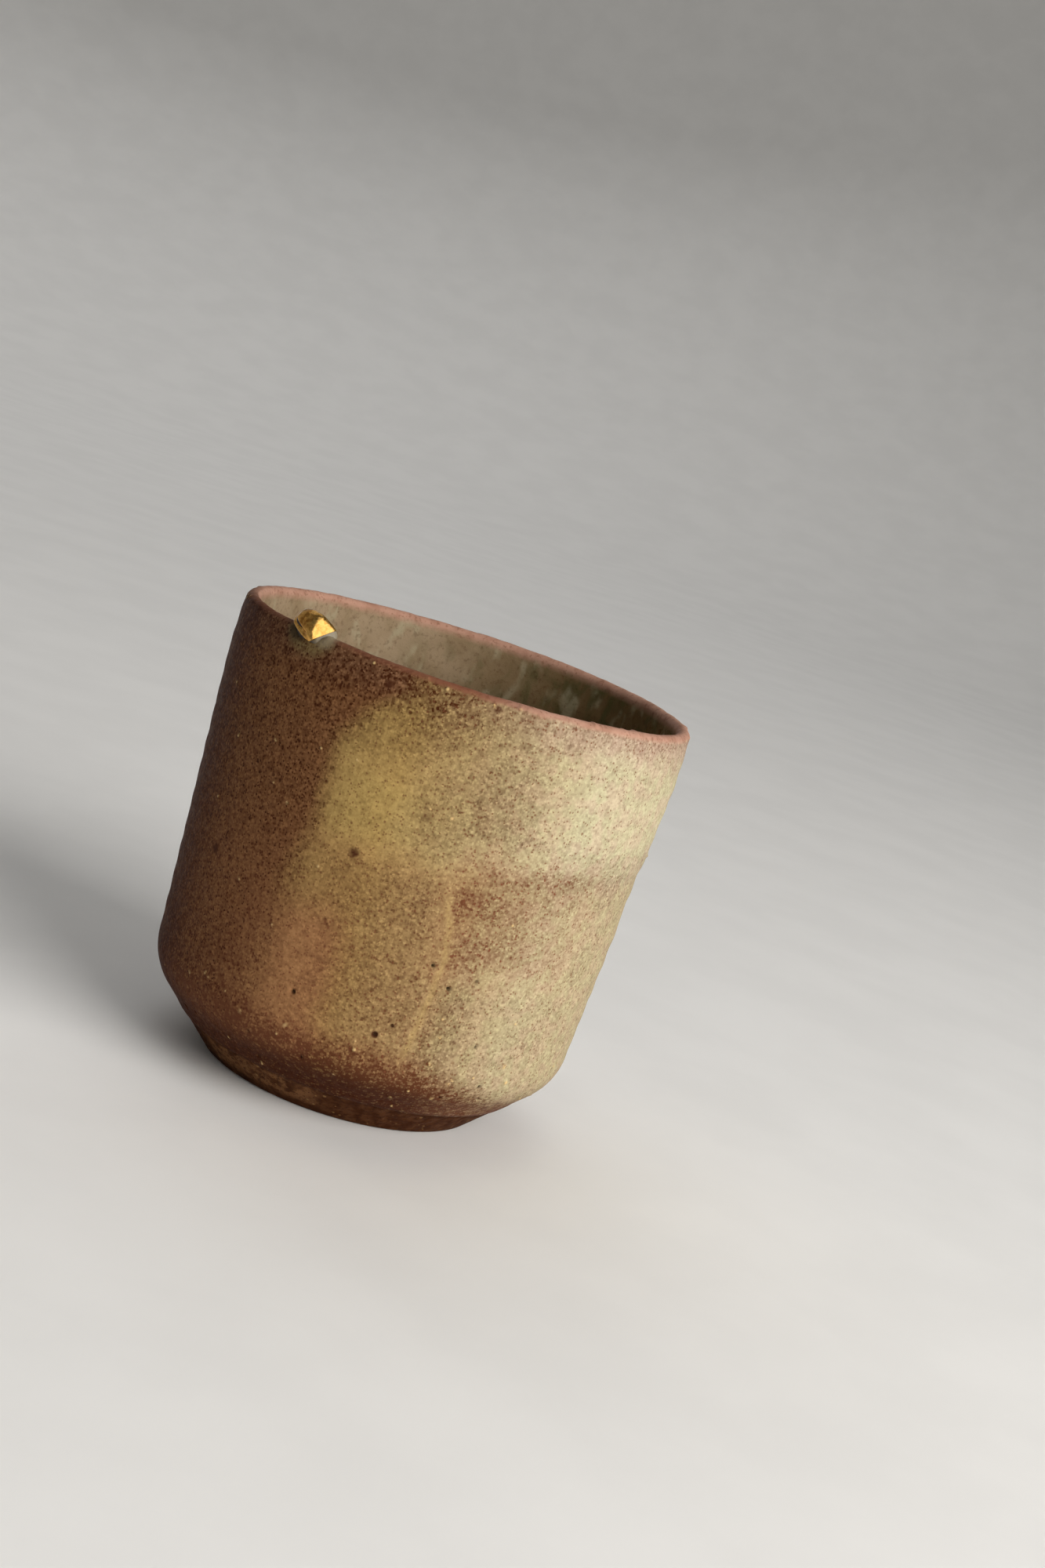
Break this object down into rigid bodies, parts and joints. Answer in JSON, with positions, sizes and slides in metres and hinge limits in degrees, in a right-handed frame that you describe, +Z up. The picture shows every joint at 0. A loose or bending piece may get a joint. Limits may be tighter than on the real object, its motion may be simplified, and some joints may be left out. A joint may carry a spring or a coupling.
{
  "type": "kintsugi cup",
  "caption": "Round thrown stoneware cup with a bevelled foot and no handle; a chip in its rim is mended with a glass drop and a gold cap.",
  "frame": {"origin": "middle of the foot ring, in the plane that the cup stands on", "axes": "+Z up along the cup's axis; the pictured side faces -Y, and the mend in the rim is 40.5 degrees from it towards -X"},
  "size_m": [0.0882, 0.0882, 0.0888],
  "materials": {
    "glaze": "satin olive to brown stoneware glaze with fine dark speckle",
    "glass": "glossy milky to smoky glass",
    "gold": "polished gold with soft facets and small dents"
  },
  "bodies": {
    "root": {"cup_body": "glaze", "glass_drop": "glass", "gold_cap": "gold"}
  },
  "joints": []
}
